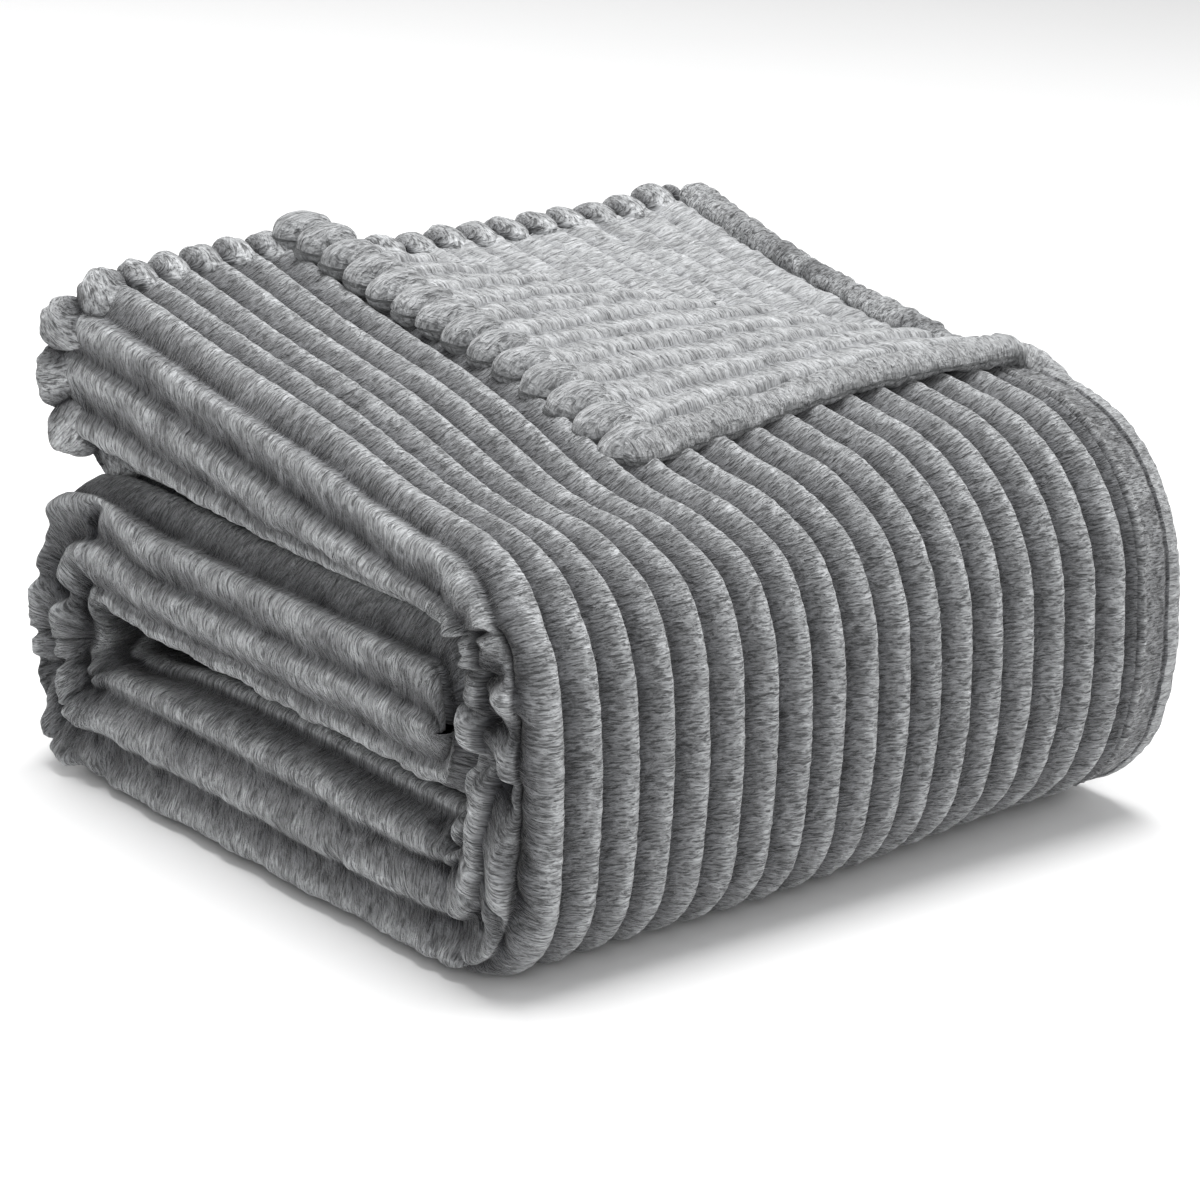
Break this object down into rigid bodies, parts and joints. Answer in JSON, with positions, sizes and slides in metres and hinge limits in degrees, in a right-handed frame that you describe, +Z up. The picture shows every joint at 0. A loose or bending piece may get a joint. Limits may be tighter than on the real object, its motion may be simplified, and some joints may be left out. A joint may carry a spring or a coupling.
{
  "type": "folded throw blanket",
  "caption": "Ribbed two-sided fleece throw folded to a strip and rolled in flat lays, its back corner turned over to show the lighter reverse.",
  "frame": {"origin": "centre of the footprint, on the surface that the folded throw rests on", "axes": "+Z up; X runs across the ribs, from the folded edge at -X to the open hems at +X; Y runs along the ribs, and the front turn faces -Y"},
  "size_m": [0.325, 0.328, 0.2075],
  "materials": {
    "face_fleece": "combed ribbed pile, matt with a soft sheen",
    "reverse_fleece": "longer fluffy pile, matt",
    "hem_fleece": "turned and stitched pile, matt"
  },
  "bodies": {
    "lower_lays": {"bottom_lay": "face_fleece", "inner_lay": "face_fleece", "back_turn": "face_fleece"},
    "front_turn": {"front_turn": "face_fleece", "front_side_hem": "hem_fleece"},
    "top_lay": {"top_lower_layers": "face_fleece", "second_layer": "reverse_fleece", "second_layer_end_hem": "face_fleece", "second_layer_side_hem": "face_fleece", "top_face_layer": "face_fleece", "top_end_hem": "face_fleece"},
    "corner": {"turned_corner": "reverse_fleece", "corner_end_hem": "face_fleece", "corner_side_hem": "hem_fleece"}
  },
  "joints": [
    {"name": "front_turn_open", "type": "hinge", "parent": "lower_lays", "child": "front_turn", "pos_m": [0, -0.1604, 0.0036], "axis": [1, 0, 0], "range_deg": [0, 90]},
    {"name": "top_lay_open", "type": "hinge", "parent": "front_turn", "child": "top_lay", "pos_m": [0, -0.15022, 0.15323], "axis": [1, 0, 0], "range_deg": [0, 82]},
    {"name": "corner_fold", "type": "hinge", "parent": "top_lay", "child": "corner", "pos_m": [-0.0555, 0.126, 0.2], "axis": [-0.7071, 0.6997, 0.1022], "range_deg": [0, 178]}
  ]
}
